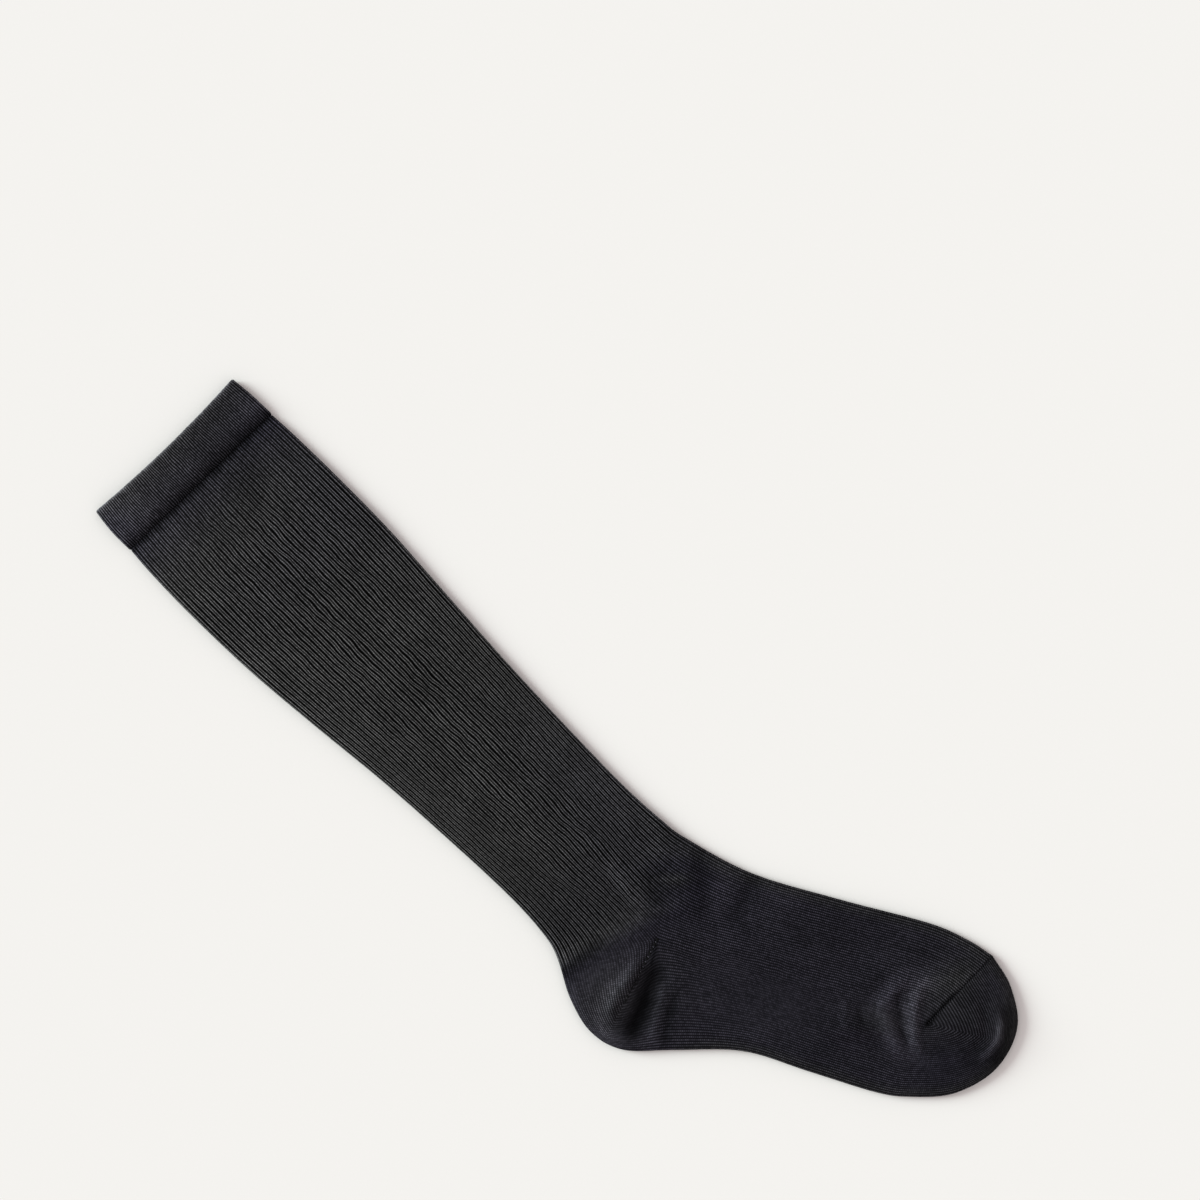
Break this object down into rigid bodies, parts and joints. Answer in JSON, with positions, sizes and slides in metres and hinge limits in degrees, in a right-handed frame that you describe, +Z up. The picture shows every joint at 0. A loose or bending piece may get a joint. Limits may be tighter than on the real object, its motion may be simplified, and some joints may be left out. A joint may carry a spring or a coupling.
{
  "type": "compression stocking",
  "caption": "Knee-high compression stocking laid flat on its side, with a doubled welt at the top, a ribbed leg, a shaped heel pocket, a plain foot and a closed round toe.",
  "frame": {"origin": "middle of the bounding box's underside, on the surface that the stocking lies on", "axes": "+Y runs up the leg from the toe to the welt, +X towards the shin and the toe, +Z up out of the surface"},
  "size_m": [0.1806, 0.5508, 0.0075],
  "materials": {
    "cuff_knit": "matt charcoal double-layer fine knit",
    "leg_knit": "matt charcoal rib knit with near-black furrows",
    "heel_knit": "matt near-black plain knit, a little navy",
    "foot_knit": "matt near-black fine plain knit, a little navy",
    "toe_knit": "matt near-black plain knit, a little navy"
  },
  "bodies": {
    "root": {"cuff": "cuff_knit", "leg": "leg_knit", "heel": "heel_knit", "foot": "foot_knit", "toe": "toe_knit"}
  },
  "joints": []
}
